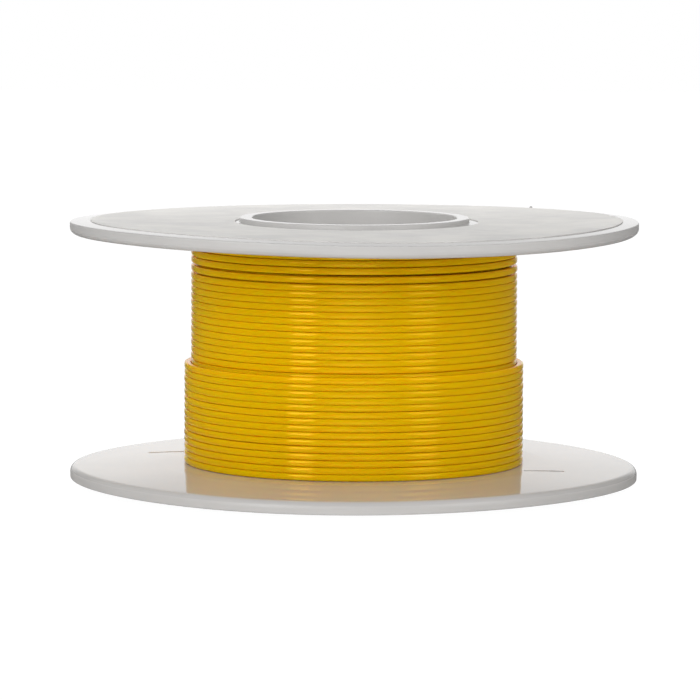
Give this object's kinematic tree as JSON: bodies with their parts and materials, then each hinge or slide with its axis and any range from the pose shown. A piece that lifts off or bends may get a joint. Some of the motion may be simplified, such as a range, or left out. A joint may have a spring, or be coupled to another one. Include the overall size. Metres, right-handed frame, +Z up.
{
  "type": "wire spool",
  "caption": "Round spool with two moulded flanges on a hollow barrel, a through bore with raised collars and a blank ring label, wound with fine insulated wire.",
  "frame": {"origin": "on the bore's axis, at the level that the spool stands on", "axes": "+Z up along the bore, +X towards the side that the lower flange's first slit is nearest to"},
  "size_m": [0.1, 0.1, 0.0471],
  "materials": {
    "flange_plastic": "pale grey moulded plastic, smooth with a soft gloss",
    "barrel_plastic": "pale grey moulded plastic",
    "label_paper": "warm pale grey coated paper, satin, bare of print",
    "wire_insulation": "yellow extruded PVC, soft gloss",
    "tinned_copper": "bright tinned strands"
  },
  "bodies": {
    "root": {"lower_flange": "flange_plastic", "upper_flange": "flange_plastic", "barrel": "barrel_plastic", "label": "label_paper", "wire_inner_layers": "wire_insulation", "wire_outer_turns": "wire_insulation", "wire_start_tail": "wire_insulation", "start_conductor": "tinned_copper"}
  },
  "joints": []
}
